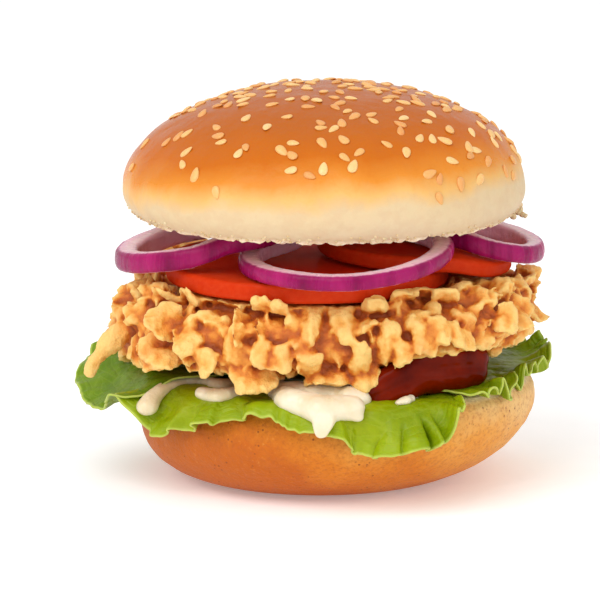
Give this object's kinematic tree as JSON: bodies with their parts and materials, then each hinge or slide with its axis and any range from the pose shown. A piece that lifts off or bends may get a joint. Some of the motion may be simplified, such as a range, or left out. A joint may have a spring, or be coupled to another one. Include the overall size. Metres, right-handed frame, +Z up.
{
  "type": "crispy chicken burger",
  "caption": "Burger with a seeded bun, red onion rings, tomato slices, a breaded chicken fillet, mayonnaise, a brown sauce and leaf lettuce.",
  "frame": {"origin": "centre of the flat underside of the lower bun", "axes": "+Z up; -Y towards the front, where the sauces run out; +X to the right as seen from the front"},
  "size_m": [0.1314, 0.1154, 0.1065],
  "materials": {
    "bun_crust": "satin baked crust with a light sheen",
    "breading": "rough fried crumb",
    "lettuce": "satin, thin and slightly see-through",
    "tomato": "wet gloss",
    "onion": "moist satin",
    "mayonnaise": "smooth satin",
    "brown_sauce": "wet gloss"
  },
  "bodies": {
    "root": {"heel": "bun_crust", "lettuce_front": "lettuce", "lettuce_right": "lettuce", "lettuce_left": "lettuce", "mayonnaise": "mayonnaise", "brown_sauce": "brown_sauce", "chicken_fillet": "breading", "tomato_lower": "tomato", "tomato_upper": "tomato", "onion_front": "onion", "onion_left": "onion", "onion_right": "onion", "crown": "bun_crust"}
  },
  "joints": []
}
